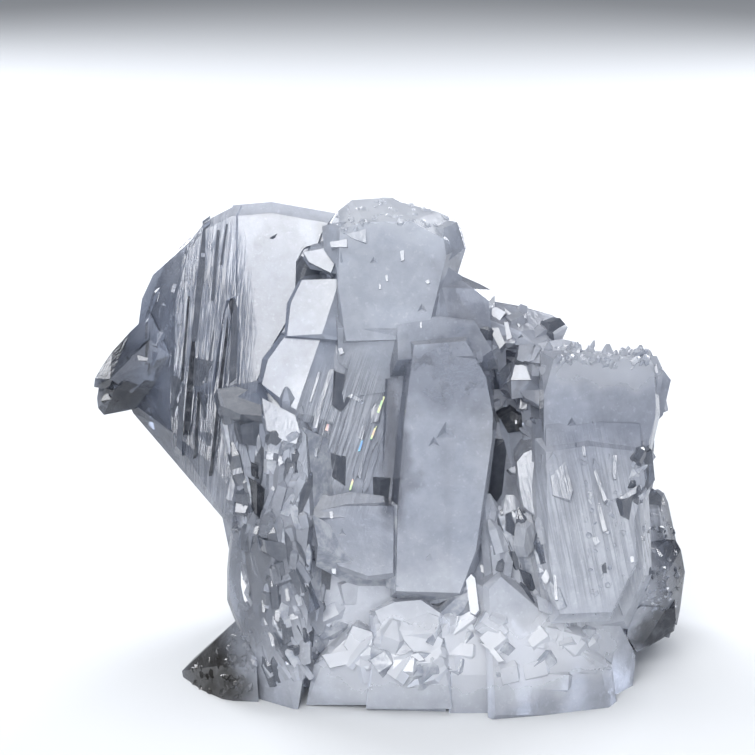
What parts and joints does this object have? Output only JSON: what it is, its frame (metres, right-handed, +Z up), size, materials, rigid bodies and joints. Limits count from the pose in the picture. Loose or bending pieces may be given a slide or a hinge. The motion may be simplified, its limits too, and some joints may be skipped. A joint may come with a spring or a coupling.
{
  "type": "faden quartz cluster",
  "caption": "Cluster of flat faden quartz crystals grown together, milky to clear, standing on a flat cut foot.",
  "frame": {"origin": "on the flat cut foot, below the middle of the cluster's box", "axes": "+Z up from the foot, the broad faces that the picture shows look towards -Y, +X to their right"},
  "size_m": [0.0592, 0.0358, 0.0483],
  "materials": {
    "quartz": "natural crystal faces, milky to clear"
  },
  "bodies": {
    "root": {"faden_quartz_cluster": "quartz"}
  },
  "joints": []
}
